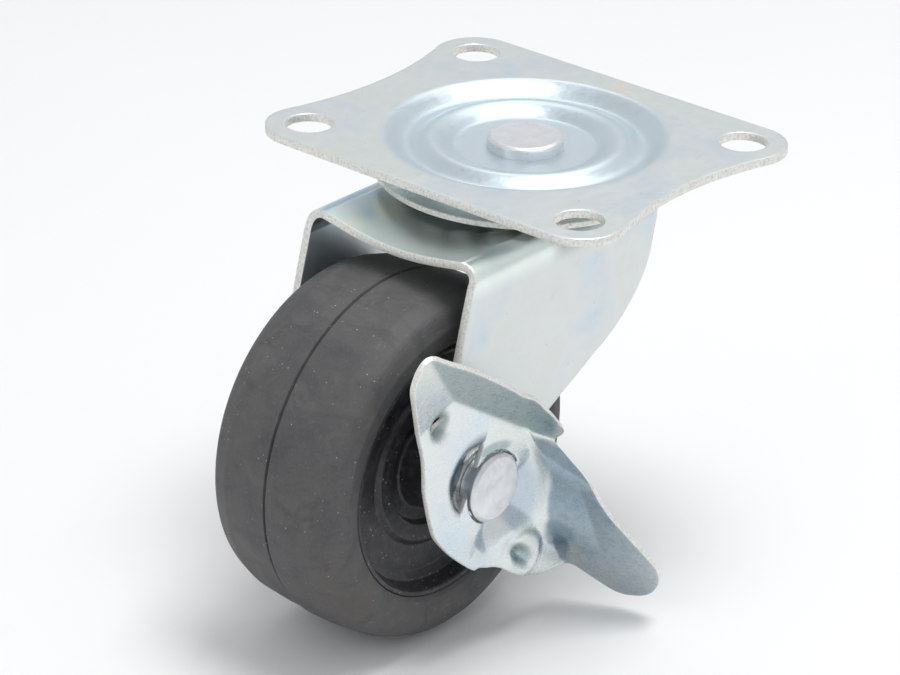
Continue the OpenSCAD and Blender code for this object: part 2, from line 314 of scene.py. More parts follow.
class Shader:
    """Builds one node material on a Principled shader, coordinates in mm."""

    def __init__(self, name):
        self.mat = bpy.data.materials.new(name)
        self.mat.use_nodes = True
        self.tree = self.mat.node_tree
        self.bsdf = self.tree.nodes["Principled BSDF"]
        coord = self.new("TexCoord")
        self.place = self.mapped(coord.outputs["Object"], (1 / MM,) * 3)

    def new(self, kind, **inputs):
        """Node with some inputs linked or set."""
        node = self.tree.nodes.new("ShaderNode" + kind)
        self.fill(node, inputs)
        return node

    def fill(self, node, inputs):
        """Links or sets inputs by name, _ for a space."""
        for key, value in inputs.items():
            self.put(node.inputs[key.replace("_", " ")], value)

    def put(self, socket, value):
        """Links a socket or sets a constant."""
        if isinstance(value, bpy.types.NodeSocket):
            self.tree.links.new(value, socket)
        elif isinstance(value, tuple) and len(value) == 3 and len(socket.default_value) == 4:
            socket.default_value = (*value, 1)
        else:
            socket.default_value = value

    def mapped(self, vector, scale, turn=(0, 0, 0), shift=(0, 0, 0)):
        turn = [math.radians(t) for t in turn]
        node = self.new("Mapping", Vector=vector, Scale=scale, Rotation=turn, Location=shift)
        return node.outputs["Vector"]

    def noise(self, scale, detail=3, rough=0.5, stretch=(1, 1, 1), turn=(0, 0, 0),
              shift=(0, 0, 0), warp=0.0):
        """Noise value with `scale` features in each mm."""
        place = self.mapped(self.place, stretch, turn, shift)
        node = self.new("TexNoise", Vector=place, Scale=scale, Detail=detail, Roughness=rough,
                        Distortion=warp)
        return node.outputs["Fac"]

    def cells(self, scale, shift):
        """Distance to the nearest of many scattered points."""
        place = self.mapped(self.place, (1, 1, 1), shift=shift)
        return self.new("TexVoronoi", Vector=place, Scale=scale).outputs["Distance"]

    def math(self, op, a, b=0.0):
        node = self.new("Math")
        node.operation = op
        self.put(node.inputs[0], a)
        self.put(node.inputs[1], b)
        return node.outputs[0]

    def plus(self, a, b):
        return self.math("ADD", a, b)

    def minus(self, a, b):
        return self.math("SUBTRACT", a, b)

    def times(self, a, b):
        return self.math("MULTIPLY", a, b)

    def span(self, value, a, b, lo=0.0, hi=1.0):
        """Maps a..b smoothly to lo..hi, clamped."""
        node = self.new("MapRange", Value=value, From_Min=a, From_Max=b, To_Min=lo, To_Max=hi)
        node.interpolation_type = "SMOOTHSTEP"
        return node.outputs["Result"]

    def ramp(self, value, stops):
        node = self.new("ValToRGB", Fac=value)
        fill_ramp(node, stops)
        return node.outputs["Color"]

    def mix(self, fac, a, b):
        node = self.new("Mix")
        node.data_type = "RGBA"
        self.put(node.inputs[0], fac)
        self.put(node.inputs[6], a)
        self.put(node.inputs[7], b)
        return node.outputs[2]

    def bump(self, height, micron, strength=1.0, under=None):
        """Bump of a height in 0..1 worth so many microns."""
        node = self.new("Bump", Strength=strength, Distance=micron * 1e-6, Height=height)
        if under is not None:
            self.put(node.inputs["Normal"], under)
        return node.outputs["Normal"]

    def axis(self, k):
        """One coordinate in mm."""
        return self.new("SeparateXYZ", Vector=self.place).outputs[k]

    def radius(self, cx=0.0, cy=0.0, first=0, second=1):
        """Distance in mm from an axis through (cx, cy)."""
        a = self.minus(self.axis(first), cx)
        b = self.minus(self.axis(second), cy)
        s = self.plus(self.times(a, a), self.times(b, b))
        return self.math("SQRT", s)

    def spot(self, x, y, wide, tall, turn=0.0, first=0, second=2):
        """1 at the middle of a soft ellipse, 0 at its edge."""
        c, s = cos_sin(turn)
        a = self.minus(self.axis(first), x)
        b = self.minus(self.axis(second), y)
        u = self.plus(self.times(a, c / wide), self.times(b, s / wide))
        v = self.plus(self.times(a, -s / tall), self.times(b, c / tall))
        d = self.plus(self.times(u, u), self.times(v, v))
        return self.span(d, 1.0, 0.25)

    def beyond(self, x, z, nx, nz, soft):
        """1 beyond a line through (x, z) from the axle, with the given normal."""
        a = self.times(self.minus(self.axis(0), AXLE[0] + x), nx)
        b = self.times(self.minus(self.axis(2), AXLE[2] + z), nz)
        return self.span(self.plus(a, b), -soft, soft)

    def set(self, **sockets):
        self.fill(self.bsdf, sockets)
        return self.mat


def grooves(sh, r, scale):
    """Noise that depends mostly on the radius, as drawn circles."""
    node = sh.new("TexNoise", Scale=scale, Detail=3)
    node.noise_dimensions = "1D"
    sh.put(node.inputs["W"], r)
    return node.outputs["Fac"]


ZINC_TINTS = [(0.26, (0.62, 0.72, 0.79)), (0.40, (0.72, 0.77, 0.79)),
              (0.50, (0.76, 0.785, 0.775)), (0.60, (0.735, 0.78, 0.75)),
              (0.74, (0.80, 0.785, 0.73))]
BLUE_STEEL = (0.64, 0.74, 0.80)


def zinc(name, shift, draw_turn, rough, shade=1.0, rings=False, blue=None, patches_and_shade=None,
         metal=1.0, grain=1.0):
    """Bright zinc plate: faint tints, mottling, fine lines, scuffs.

    rings adds drawn circles about the swivel axis; blue is the radius where the
    blue tint is full and the radius where it ends.
    """
    sh = Shader(name)
    cloud = sh.noise(0.075, 2, 0.5, shift=shift, warp=0.8)
    tints = [(at, tuple(c * shade for c in col)) for at, col in ZINC_TINTS]
    colour = sh.ramp(cloud, tints)
    mottle = sh.noise(0.8, 5, 0.6, shift=shift)
    colour = sh.mix(sh.span(mottle, 0.36, 0.68, 0.0, 0.28), colour,
                    (0.80 * shade, 0.82 * shade, 0.83 * shade))
    if blue is not None:
        near = sh.span(sh.radius(), blue[1], blue[0], 0.0, 0.8)
        colour = sh.mix(near, colour, BLUE_STEEL)
    stain = sh.noise(0.5, 3 + 3 * grain, 0.68, shift=(shift[0] + 9, 4, 7), warp=1.2)
    colour = sh.mix(sh.span(stain, 0.58, 0.74, 0.0, 0.22), colour,
                    (0.47 * shade, 0.52 * shade, 0.53 * shade))
    # extra patches laid over the colour: real tints, and painted shade and painted dark
    # reflections
    if patches_and_shade is not None:
        for mask, tone, amount in patches_and_shade(sh):
            broken = sh.times(mask, sh.span(mottle, 0.2, 0.75, amount, amount * 0.8))
            colour = sh.mix(broken, colour, tone)
    lines = sh.noise(1.0, 2, 0.5, (0.10, 3.0, 3.0), draw_turn, shift)
    scratch = sh.span(sh.noise(1.0, 1, 0.4, (0.16, 5.5, 5.5),
                               (draw_turn[0] + 24, draw_turn[1] + 31, draw_turn[2] + 57)),
                      0.71, 0.75)
    colour = sh.mix(sh.times(scratch, 0.12), colour, (0.88, 0.89, 0.90))
    dot = sh.cells(0.36, shift)
    pit = sh.span(dot, 0.06, 0.035)
    colour = sh.mix(sh.times(pit, 0.35 * grain), colour, (0.30, 0.32, 0.33))
    level = sh.plus(sh.times(mottle, 0.5), sh.times(lines, 0.5))
    roughness = sh.span(level, 0.36, 0.64, *rough)
    roughness = sh.plus(roughness, sh.times(scratch, 0.06))
    n = sh.bump(sh.noise(5.0, 3, 0.5), 4, 0.09 * grain)
    n = sh.bump(lines, 5, 0.16 * grain, n)
    n = sh.bump(sh.noise(0.16, 2, 0.4, shift=shift), 70, 0.4, n)
    if rings:
        n = sh.bump(grooves(sh, sh.radius(), 2.2), 18, 0.16, n)
    return sh.set(Base_Color=colour, Metallic=metal, Roughness=roughness, Normal=n)


def fork_tints_and_shade(sh):
    """Blue and straw patches on the crown, painted light on its top, painted shade under the dust
    cap and in the inner bends.
    """
    top = sh.span(sh.axis(2), -11.5, -8.6)
    front = sh.span(sh.radius(), 17.0, 19.5)
    under_cap_shade = sh.times(top, sh.span(sh.radius(), 19.5, 17.2))
    patches = [((-22, 12, 7.0, 5.5, 20), (0.56, 0.74, 0.92), 0.8),
               ((-25, 9.5, 4.0, 3.0, 40), (0.90, 0.86, 0.72), 0.45),
               ((-20, 8, 2.4, 4.4, 0), (0.88, 0.86, 0.70), 0.5)]
    # painted light: the crown's top beyond the cap made lighter and greener
    out = [(sh.times(top, front), (0.90, 1.0, 0.94), 0.75)]
    out += [(sh.times(top, sh.spot(*form, 0, 1)), tone, amount) for form, tone, amount in patches]
    # painted shade: the crown top under the dust cap darkened
    out.append((under_cap_shade, (0.26, 0.32, 0.30), 0.7))
    # painted shade: the inner bends near the front darkened almost to black
    mouth = sh.span(sh.axis(0), -12.0, -20.0)
    for side in (-1, 1):
        bend = sh.span(sh.radius(side * FLAT_Y, -CROWN_Z - BEND_R, 1, 2), 1.75, 1.5)
        out.append((sh.times(mouth, bend), (0.10, 0.10, 0.11), 0.9))
    return out


def lever_painted_shade(sh):
    """Painted shade and painted dark reflections, blue-grey, in the pressings and on the folded
    leaves of the lever.
    """
    x, z = AXLE[0], AXLE[2]
    # painted shade in the sunk dish left of the rivet head
    dish_shade = sh.span(sh.radius(x - 2.8, z + 2.6, 0, 2), 6.7, 4.9)
    dish_shade = sh.times(dish_shade, sh.beyond(-3.5, 3.7, -0.914, 0.406, 0.15))
    dish_shade = sh.times(dish_shade, sh.beyond(-5.2, 0.5, -0.862, 0.507, 0.15))
    # painted dark reflection on the outer face of the flange
    flange = sh.times(sh.beyond(-12.0, 19.7, 0.752, 0.659, 0.3),
                      sh.beyond(-8.4, 15.8, 0.544, 0.839, 0.3))
    # painted shade and dark reflection on the wing, full strength high up, half strength low down
    foot = sh.times(sh.beyond(10.3, -4.0, 0.99, 0.06, 0.25),
                    sh.beyond(10.7, -10.0, 0.846, 0.534, 0.3))
    wing = sh.math("MAXIMUM", foot, sh.beyond(7.0, 5.2, 0.922, 0.388, 0.25))
    wing = sh.times(wing, sh.beyond(-8.8, 15.4, -0.544, -0.839, 0.4))
    wing = sh.times(wing, sh.span(sh.axis(2), z - 19.0, z - 5.0, 0.5, 1.0))
    # painted shade in the steps, creases and dents round the dish
    shade_spots = [((6.2, -3.6, 4.6, 6.4, 10), (0.40, 0.50, 0.60), 0.75),
             ((0.2, 5.5, 4.0, 1.2, -6), (0.22, 0.34, 0.38), 0.7),
             ((12.4, -11.6, 3.4, 1.5, -60), (0.15, 0.24, 0.31), 0.65),
             ((14.2, -14.8, 4.6, 0.8, -58), (0.13, 0.21, 0.28), 0.8),
             ((-10.9, 12.9, 2.7, 2.2, 60), (0.15, 0.23, 0.21), 0.85),
             ((6.0, -12.4, 3.4, 1.6, -41), (0.25, 0.35, 0.37), 0.8),
             ((-3.4, -7.2, 2.6, 0.8, 60), (0.40, 0.48, 0.53), 0.5)]
    shade_spots = [(sh.spot(x + dx, z + dz, *form), tone, amount)
             for (dx, dz, *form), tone, amount in shade_spots]
    return [(flange, (0.34, 0.44, 0.44), 0.8), (wing, (0.22, 0.31, 0.38), 0.92), *shade_spots,
            (dish_shade, (0.08, 0.14, 0.20), 0.85)]


def cut_edge(name):
    """Sheared, zinc-coated edge: creamy, finely blotched, a little torn."""
    sh = Shader(name)
    blotch = sh.noise(2.6, 4, 0.6)
    colour = sh.ramp(blotch, [(0.28, (0.60, 0.585, 0.54)), (0.46, (0.77, 0.76, 0.72)),
                              (0.66, (0.88, 0.875, 0.85))])
    speck = sh.span(sh.noise(3.5, 2, 0.5, shift=(3, 8, 1)), 0.70, 0.76)
    colour = sh.mix(sh.times(speck, 0.5), colour, (0.26, 0.25, 0.23))
    tear = sh.noise(1.0, 3, 0.6, (3.0, 3.0, 0.7))
    n = sh.bump(blotch, 16, 0.6)
    n = sh.bump(tear, 14, 0.4, n)
    rough = sh.span(blotch, 0.3, 0.7, 0.58, 0.44)
    return sh.set(Base_Color=colour, Metallic=0.6, Roughness=rough, Normal=n)


def scuffed_steel(name):
    """Formed rivet heads: matt with soft tool marks and small pits."""
    sh = Shader(name)
    soft = sh.noise(0.34, 4, 0.6, shift=(5, 1, 2), warp=0.6)
    colour = sh.ramp(soft, [(0.32, (0.66, 0.675, 0.70)), (0.50, (0.75, 0.76, 0.785)),
                            (0.68, (0.82, 0.825, 0.83))])
    mark = sh.span(sh.noise(1.1, 6, 0.7, shift=(2, 7, 3)), 0.58, 0.72)
    colour = sh.mix(sh.times(mark, 0.25), colour, (0.50, 0.51, 0.53))
    dot = sh.cells(0.7, (4, 4, 4))
    pit = sh.span(dot, 0.10, 0.05)
    colour = sh.mix(sh.times(pit, 0.5), colour, (0.34, 0.34, 0.36))
    rough = sh.span(soft, 0.3, 0.7, 0.46, 0.34)
    n = sh.bump(soft, 55, 0.45)
    n = sh.bump(sh.noise(3.6, 4, 0.6), 8, 0.5, n)
    n = sh.bump(pit, -40, 0.6, n)
    return sh.set(Base_Color=colour, Metallic=1.0, Roughness=rough, Normal=n)


def ball_steel(name):
    """Greased bearing balls."""
    sh = Shader(name)
    film = sh.noise(0.5, 4, 0.6)
    colour = sh.ramp(film, [(0.35, (0.42, 0.39, 0.33)), (0.6, (0.66, 0.66, 0.66))])
    rough = sh.span(film, 0.3, 0.7, 0.32, 0.14)
    n = sh.bump(sh.noise(2.5, 3, 0.6), 8, 0.5)
    return sh.set(Base_Color=colour, Metallic=1.0, Roughness=rough, Normal=n)


def rubber(name):
    """Moulded grey-black rubber: dusty film, flow marks, specks."""
    sh = Shader(name)
    cloud = sh.noise(0.10, 4, 0.6, shift=(2, 3, 5), warp=0.7)
    colour = sh.ramp(cloud, [(0.30, (0.066, 0.066, 0.069)), (0.50, (0.085, 0.084, 0.084)),
                             (0.70, (0.105, 0.101, 0.098))])
    brown = sh.span(sh.noise(0.07, 3, 0.6, shift=(8, 1, 1), warp=0.5), 0.56, 0.72)
    colour = sh.mix(sh.times(brown, 0.35), colour, (0.095, 0.082, 0.068))
    smudge = sh.noise(0.28, 5, 0.66, (1.0, 0.55, 1.0), shift=(6, 2, 9), warp=0.8)
    colour = sh.mix(sh.span(smudge, 0.50, 0.66, 0.0, 0.5), colour, (0.050, 0.050, 0.053))
    colour = sh.mix(sh.span(smudge, 0.44, 0.32, 0.0, 0.4), colour, (0.125, 0.121, 0.115))
    fine = sh.noise(2.2, 5, 0.68)
    colour = sh.mix(sh.span(fine, 0.45, 0.75, 0.0, 0.28), colour, (0.13, 0.13, 0.13))
    dot = sh.cells(1.1, (1, 2, 3))
    dust = sh.times(sh.span(dot, 0.12, 0.07),
                    sh.span(sh.noise(0.4, 2, 0.5, shift=(4, 4, 9)), 0.48, 0.60))
    colour = sh.mix(sh.times(dust, 0.75), colour, (0.42, 0.42, 0.41))
    scratch = sh.span(sh.noise(1.0, 1, 0.4, (0.35, 3.5, 3.5), (20, 40, 10)), 0.73, 0.76)
    colour = sh.mix(sh.times(scratch, 0.4), colour, (0.20, 0.20, 0.20))
    rough = sh.span(cloud, 0.3, 0.7, 0.52, 0.66)
    n = sh.bump(fine, 16, 0.7)
    n = sh.bump(sh.noise(0.35, 3, 0.5), 60, 0.5, n)
    return sh.set(Base_Color=colour, Roughness=rough, Normal=n, Specular_IOR_Level=0.42)


def black_core(name):
    """Glossy black moulding with white dust specks."""
    sh = Shader(name)
    cloud = sh.noise(0.2, 4, 0.6)
    colour = sh.ramp(cloud, [(0.35, (0.010, 0.010, 0.013)), (0.65, (0.022, 0.022, 0.025))])
    dot = sh.cells(1.25, (6, 2, 4))
    dust = sh.times(sh.span(dot, 0.15, 0.08),
                    sh.span(sh.noise(0.35, 3, 0.6, shift=(1, 9, 2)), 0.40, 0.54))
    film = sh.span(sh.noise(1.1, 6, 0.72, shift=(7, 7, 2)), 0.42, 0.72, 0.05, 0.55)
    colour = sh.mix(film, colour, (0.095, 0.095, 0.102))
    colour = sh.mix(sh.times(dust, 0.8), colour, (0.5, 0.5, 0.5))
    rough = sh.span(sh.noise(0.8, 4, 0.6), 0.3, 0.7, 0.30, 0.44)
    rough = sh.plus(rough, sh.times(dust, 0.4))
    n = sh.bump(sh.noise(1.6, 4, 0.6), 22, 0.6)
    n = sh.bump(dust, 40, 0.6, n)
    return sh.set(Base_Color=colour, Roughness=rough, Normal=n, Specular_IOR_Level=0.5)


def floor_white(name):
    """Plain pale studio floor."""
    sh = Shader(name)
    cloud = sh.noise(0.004, 3, 0.5)
    colour = sh.ramp(cloud, [(0.3, (0.83, 0.83, 0.83)), (0.7, (0.86, 0.86, 0.86))])
    n = sh.bump(sh.noise(0.9, 3, 0.5), 20, 0.2)
    return sh.set(Base_Color=colour, Roughness=0.7, Normal=n)


PLATE_ZINC = zinc("zinc_plate_top", (0, 0, 0), (0, 0, 35), (0.29, 0.38), rings=True,
                  blue=(18.6, 20.4), metal=0.95)
CAP_ZINC = zinc("zinc_cap", (12, 5, 3), (0, 0, 0), (0.26, 0.4), 0.85, rings=True)
FORK_ZINC = zinc("zinc_fork", (31, 7, 2), (0, 90, 0), (0.30, 0.40), 0.95,
                 patches_and_shade=fork_tints_and_shade, metal=0.84)
LEVER_ZINC = zinc("zinc_lever", (4, 41, 11), (0, 35, 0), (0.25, 0.33),
                  patches_and_shade=lever_painted_shade, grain=0.35)
RACE_ZINC = zinc("zinc_race", (8, 3, 21), (0, 0, 0), (0.3, 0.45), 0.8)
EDGE = cut_edge("sheared_edge")
RIVET = scuffed_steel("rivet_head")
BALL = ball_steel("bearing_ball")
RUBBER = rubber("tyre_rubber")
CORE = black_core("core_black")

# ---- top plate

HOLE_X, HOLE_Y = 17.5, 23.5
HOLES = [(sx * HOLE_X, sy * HOLE_Y) for sx in (-1, 1) for sy in (-1, 1)]
LOBE_R, WAIST_Y, HOLE_R, PIN_HOLE_R = 6.0, 26.7, 3.25, 4.0
PLATE_T = 1.2
RINGS_END = 20.4
RIM_R, GROOVE_R, CREST_R, RECESS_R, BALL_R = 19.4, 16.0, 13.1, 9.7, 12.9


def plate_outline():
    """Closed outline with rounded lugs and two waisted sides."""
    rise = HOLE_Y - WAIST_Y
    waist_r = (HOLE_X ** 2 + rise ** 2 - LOBE_R ** 2) / (2 * (LOBE_R + rise))
    top = WAIST_Y + waist_r
    tip = math.degrees(math.atan2(top - HOLE_Y, -HOLE_X))
    lug = arc(HOLE_X, HOLE_Y, LOBE_R, 0, tip, 18)
    waist = arc(0, top, waist_r, tip - 180, -90, 14)[1:]
    quarter = np.vstack([[[HOLE_X + LOBE_R, 0]], lug, waist])
    mirror_x = (quarter * [-1, 1])[::-1][1:]
    half = np.vstack([quarter, mirror_x])
    lower = (half * [1, -1])[::-1][1:-1]
    return resample(np.vstack([half, lower]), 0.6, True)


def press_height(r):
    """Height of the pressed rings at a radius."""
    r = np.asarray(r, float)
    rise = np.clip((r - RECESS_R) / (CREST_R - RECESS_R), 0, 1)
    z = -1.95 + 1.45 * np.sin(math.pi / 2 * rise)
    z = z - 1.25 * step(r, CREST_R - 0.3, GROOVE_R + 0.1)
    slope = np.clip((r - GROOVE_R - 0.2) / (RIM_R - GROOVE_R - 0.2), 0, 1)
    eased = 0.3 * slope + 0.7 * (1 - np.cos(math.pi * slope)) / 2
    return np.where(r > GROOVE_R + 0.2, -1.75 + 1.75 * eased, z)


def build_top_plate():
    outer = plate_outline()
    pull = outer / np.linalg.norm(outer, axis=1)[:, None]
    holes = [circle(0, 0, PIN_HOLE_R, 96)] + [circle(x, y, HOLE_R, 48) for x, y in HOLES]
    collars = [circle(x, y, HOLE_R + 0.4, 48) for x, y in HOLES]
    rings = polar(np.arange(PIN_HOLE_R + 0.5, RINGS_END, 0.42), 192)
    flat = lattice(-24, 24, 1.1, -30, 30, 1.0)
    flat = flat[np.hypot(flat[:, 0], flat[:, 1]) > RINGS_END + 0.5]
    far = np.ones(len(flat), bool)
    for x, y in HOLES:
        far &= np.hypot(flat[:, 0] - x, flat[:, 1] - y) > HOLE_R + 0.9
    inner = outer - pull * 0.45
    extra = np.vstack([rings, flat[far], *collars, inner])
    points, faces = region(outer, holes, extra, 0.25)
    r = np.hypot(points[:, 0], points[:, 1])
    top = np.column_stack([points, press_height(r)])
    verts, every, marks = sheet(top, faces, np.array([0, 0, -PLATE_T]))
    obj = make_piece("pressed_plate", verts, every, marks, [PLATE_ZINC, EDGE],
                     "plate", "top_plate")
    return soften_edges(obj, 0.13)


# ---- fork

REAR_R, CORNER_R = 18.3, 6.0
CROWN_HOLE_R, BORE_R, CROWN_RINGS_END = 6.5, 3.05, 19.4
FRONT_X = AXLE[0] - 0.3
CORNER_Y = FORK_Y - CORNER_R
CORNER_X = math.sqrt((REAR_R - CORNER_R) ** 2 - CORNER_Y ** 2)
REAR_TURN = math.atan2(CORNER_Y, CORNER_X)
S_ARC = REAR_R * REAR_TURN
S_CORNER = S_ARC + CORNER_R * (math.pi / 2 - REAR_TURN)
BEND_LEN = BEND_R * math.pi / 2


def wall_frame(s):
    """Outer path of the fork wall seen from above: points and normals."""
    s = np.asarray(s, float)
    m, side = np.abs(s), np.where(s < 0, -1.0, 1.0)
    a = m / REAR_R
    b = REAR_TURN + (m - S_ARC) / CORNER_R
    x = np.where(m < S_ARC, REAR_R * np.cos(a), CORNER_X + CORNER_R * np.cos(b))
    y = np.where(m < S_ARC, REAR_R * np.sin(a), CORNER_Y + CORNER_R * np.sin(b))
    nx = np.where(m < S_ARC, np.cos(a), np.cos(b))
    ny = np.where(m < S_ARC, np.sin(a), np.sin(b))
    flat = m > S_CORNER
    x = np.where(flat, CORNER_X - (m - S_CORNER), x)
    y = np.where(flat, FORK_Y, y)
    nx, ny = np.where(flat, 0.0, nx), np.where(flat, 1.0, ny)
    return x, y * side, nx, ny * side


def wall_point(s, w):
    """3-D points and normals of the folded wall at path s, depth w."""
    x, y, nx, ny = wall_frame(s)
    turn = np.clip(w / BEND_R, 0, math.pi / 2)
    back = BEND_R * (1 - np.sin(turn))
    z = -CROWN_Z - BEND_R * (1 - np.cos(turn)) - np.maximum(w - BEND_LEN, 0)
    p = np.column_stack([x - back * nx, y - back * ny, z])
    n = np.column_stack([nx * np.sin(turn), ny * np.sin(turn), np.cos(turn)])
    return p, n


def wall_s(x):
    """Path length of the wall at a given x."""
    s = np.linspace(0, 70, 7001)
    xs = wall_frame(s)[0]
    return np.interp(-np.asarray(x, float), -xs, s)


def wall_w(z):
    """Developed depth of the wall at a given z, below the bend."""
    return BEND_LEN + (-CROWN_Z - BEND_R - np.asarray(z, float))


LEG_REAR = [(-20.6, -40.6), (-18.5, -37.6), (-15, -34.6), (-10.4, -31.8), (-6.5, -29.8),
            (-2.6, -27.7), (0.2, -26.3), (2.6, -24.8), (4.6, -23.2), (6.4, -21.4), (7.8, -19.6),
            (8.9, -17.7), (9.7, -15.8), (10.4, -13.9), (11.3, -12.5), (13, -11.5), (15, -10.9),
            (17, -10.7), (18.2, -10.65)]
EYE_R = 8.0


def wall_outline():
    """Closed outline of the unrolled wall, path against depth."""
    front = [(FRONT_X, 0.0), (FRONT_X - 0.03, 1.6), (FRONT_X - 0.25, 3.2),
             (FRONT_X - 0.75, wall_w(-9.6)), (FRONT_X - 1.6, wall_w(-12.6))]
    eye = arc(AXLE[0], AXLE[2], EYE_R, 163.5, 318, 30)
    rear = spline(LEG_REAR, 5)
    edge = np.array([(wall_s(x), w) for x, w in front])
    low = np.array([(wall_s(x), wall_w(z)) for x, z in np.vstack([eye, rear[1:]])])
    low = np.vstack([low, [[0.0, low[-1, 1]]]])
    side = np.vstack([spline(edge, 4), low])
    side = resample(side, 0.7)
    other = (side * [-1, 1])[::-1][1:]
    n = int(round(2 * side[0, 0] / 0.7))
    top = np.column_stack([np.linspace(-side[0, 0], side[0, 0], n + 1)[1:-1], np.zeros(n - 1)])
    return np.vstack([side, other, top]), top[:, 0], side[0, 0]


def crown_height(x, y):
    """Top of the crown: sagging front, flat round the bearing, ball groove."""
    r = np.hypot(x, y)
    u = np.clip(1 - (y / FLAT_Y) ** 2, 0, 1)
    sag = CROWN_SAG * u ** 1.3 * step(r, 15.2, 18.5) * step(-x, 3, 8)
    groove = np.where(np.abs(r - BALL_R) < 2.3,
                      -4.11 - np.sqrt(np.maximum(2.44 ** 2 - (r - BALL_R) ** 2, 0)), 0)
    return np.minimum(-CROWN_Z - sag, groove)


def build_fork():
    """Wall and crown are meshed apart and joined along the start of the bend."""
    outline, top_s, s_front = wall_outline()
    hole_s = float(wall_s(AXLE[0]))
    hole_w = float(wall_w(AXLE[2]))
    holes = [circle(k * hole_s, hole_w, BORE_R, 40) for k in (-1, 1)]
    bend_rows = np.linspace(0, BEND_LEN, 9)[1:]
    rows = np.concatenate([bend_rows, BEND_LEN + np.arange(0.5, 45, 0.85)])
    cols = np.linspace(-s_front - 8, s_front + 8, 2 * int((s_front + 8) / 0.7) + 1)
    gs, gw = np.meshgrid(cols, rows)
    grid = np.column_stack([gs.ravel(), gw.ravel()])
    flat, wall_faces = region(outline, holes, grid, 0.28)
    wall, wall_n = wall_point(flat[:, 0], flat[:, 1])

    all_s = np.concatenate([[s_front], top_s[::-1], [-s_front]])
    rim = wall_point(all_s, np.zeros(len(all_s)))[0][:, :2]
    lip = np.column_stack([np.full(34, FRONT_X), np.linspace(-FLAT_Y, FLAT_Y, 36)[1:-1]])
    loop = np.vstack([rim, lip])
    mouth = circle(0, 0, CROWN_HOLE_R, 72)
    rings = polar(np.arange(6.9, 19.2, 0.45), 132)
    rings = rings[(rings[:, 0] < 16) & (np.abs(rings[:, 1]) < FLAT_Y)]
    field = lattice(-27, -10, 0.75, -12.3, 12.3, 0.7)
    field = field[np.hypot(field[:, 0], field[:, 1]) > CROWN_RINGS_END]
    corner = lattice(4, 16, 0.75, -12.3, 12.3, 0.7)
    corner = corner[np.hypot(corner[:, 0], corner[:, 1]) > CROWN_RINGS_END]
    plan, crown_faces = region(loop, [mouth], np.vstack([rings, field, corner]), 0.3)
    x, y = plan[:, 0], plan[:, 1]
    e = 0.02
    dx = (crown_height(x + e, y) - crown_height(x - e, y)) / (2 * e)
    dy = (crown_height(x, y + e) - crown_height(x, y - e)) / (2 * e)
    crown = np.column_stack([plan, crown_height(x, y)])
    crown_n = np.column_stack([-dx, -dy, np.ones(len(x))])
    crown_n /= np.linalg.norm(crown_n, axis=1)[:, None]
    edge = np.abs(crown[:, 2] + CROWN_Z) < 1e-3
    crown_n[edge] = (0, 0, 1)

    points = np.vstack([wall, crown])
    normals = np.vstack([wall_n, crown_n])
    faces = np.vstack([wall_faces, crown_faces + len(wall)])
    key = {}
    index = np.array([key.setdefault(tuple(k), i) for i, k in
                      enumerate(np.round(points * 500).astype(int).tolist())])
    used, new = np.unique(index, return_inverse=True)
    points, normals, faces = points[used], normals[used], new[faces]
    verts, every, marks = sheet(points, faces, -FORK_T * normals)
    obj = make_piece("stamped_fork", verts, every, marks, [FORK_ZINC, EDGE],
                     "fork", "fork")
    return soften_edges(obj, 0.13)


# ---- brake lever

LEVER_T = 0.8
PAN_OUT, PAN_FLOOR = 18.0, 15.8
SINK = PAN_OUT - PAN_FLOOR
# fold start (x, z) from the axle, direction away from the pan, tilt, softness
FOLDS = {
    "flange": ((-8.5, 15.7), (0.544, 0.839), 45.0, 0.22),
    "wing": ((6.6, 5.5), (0.922, 0.388), 73.0, 0.35),
    "tab": ((-14.6, 13.1), (-0.392, 0.92), 16.0, 0.12),
}
LEVER_OUTLINE = [
    (-14.9, 12.7), (-17.4, 17.7), (-19.35, 21.6), (-19.5, 23.5), (-19.0, 25.1), (-17.9, 25.95),
    (-16.6, 25.75), (-15.2, 24.9), (-13.7, 24.0), (-11.9, 23.0), (-9.1, 21.3), (-5.1, 18.6),
    (-1.3, 15.9), (2.1, 13.5), (5.9, 10.5), (8.7, 8.0), (10.8, 5.9), (12.4, 4.3), (12.85, 3.4),
    (12.5, 2.3), (12.55, 1.2), (12.2, -0.3), (12.6, -3.1), (14.6, -7.2), (16.6, -10.6),
    (18.6, -13.9), (19.9, -16.2), (20.7, -18.2), (21.1, -19.7), (21.3, -21.2), (21.0, -22.1),
    (20.1, -22.1), (18.2, -20.0), (16.9, -18.5), (15.6, -18.05), (13.2, -17.8), (10.7, -17.6),
    (7.4, -16.4), (4.9, -15.1), (2.5, -13.4), (0.9, -12.5), (-0.8, -11.9), (-2.5, -11.25),
    (-3.5, -11.2), (-6.2, -9.0), (-8.9, -6.4), (-11.3, -3.4), (-12.3, -0.8), (-13.1, 2.2),
    (-13.6, 4.7), (-13.7, 7.3), (-14.1, 10.0)]
# outer edge of the sunk dish, angle in degrees against radius
LEFT_RIM = [(100, 8.0), (111, 8.3), (119, 9.0), (127, 9.7), (138, 10.0), (154, 10.2),
            (161, 9.8), (170, 9.1), (178, 8.4), (186, 7.7), (194, 6.7), (200, 6.4)]
RIGHT_RIM = [(-112, 8.6), (-95, 9.6), (-75, 9.6), (-62, 9.9), (-53, 11.2), (-43, 12.8),
             (-31, 11.5), (-12, 9.7), (3, 9.0), (15, 8.6), (25, 8.3), (45, 8.5)]
# how far the foot of the wing bows into the pan, against the way along its fold
WING_BOW = [(6, 0.0), (9, 0.4), (12, 1.4), (14.7, 2.6), (17, 2.5), (19, 2.0), (21, 1.2),
            (23.5, 0.0)]
BOW_END = 1.6
